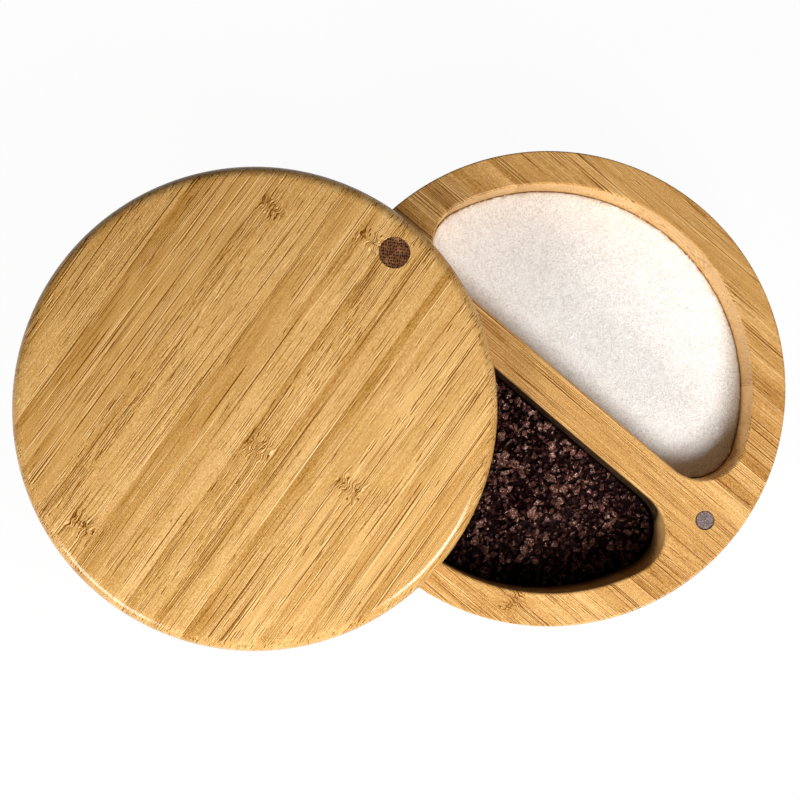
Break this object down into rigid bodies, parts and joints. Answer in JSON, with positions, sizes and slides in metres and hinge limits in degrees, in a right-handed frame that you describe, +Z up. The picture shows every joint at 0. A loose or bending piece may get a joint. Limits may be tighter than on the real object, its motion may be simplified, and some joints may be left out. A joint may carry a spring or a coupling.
{
  "type": "salt box with swivel lid",
  "caption": "Round bamboo salt box with salt and pepper pockets side by side, and a flat lid that swivels level on a pivot in the rim and is held shut by magnets.",
  "frame": {"origin": "centre of the base's round underside, on the surface that the box stands on", "axes": "+Z up; the divider between the pockets runs along Y, with the pivot at +Y and the magnet at -Y; the salt pocket is at +X and the pepper pocket at -X; the lid rests swung open, 91.5 degrees clockwise from closed as seen from above"},
  "size_m": [0.2179, 0.2196, 0.0638],
  "materials": {
    "bamboo": "oiled laminated bamboo, satin",
    "dark_bamboo": "carbonised bamboo end grain, sanded flush",
    "magnet": "nickel-plated disc magnet, dulled by use",
    "steel": "plain zinc-plated steel",
    "salt": "fine loose white salt",
    "pepper": "coarse cracked black pepper, loose"
  },
  "bodies": {
    "base": {"base_body": "bamboo", "base_magnet": "magnet", "pivot_screw": "steel", "pivot_washer": "steel", "salt_fill": "salt", "pepper_fill": "pepper"},
    "lid": {"lid": "bamboo", "lid_magnet": "magnet", "pivot_plug": "dark_bamboo"}
  },
  "joints": [
    {"name": "lid_swivel", "type": "hinge", "parent": "base", "child": "lid", "pos_m": [0, 0.0655, 0.0511], "axis": [0, 0, 1], "continuous": true}
  ]
}
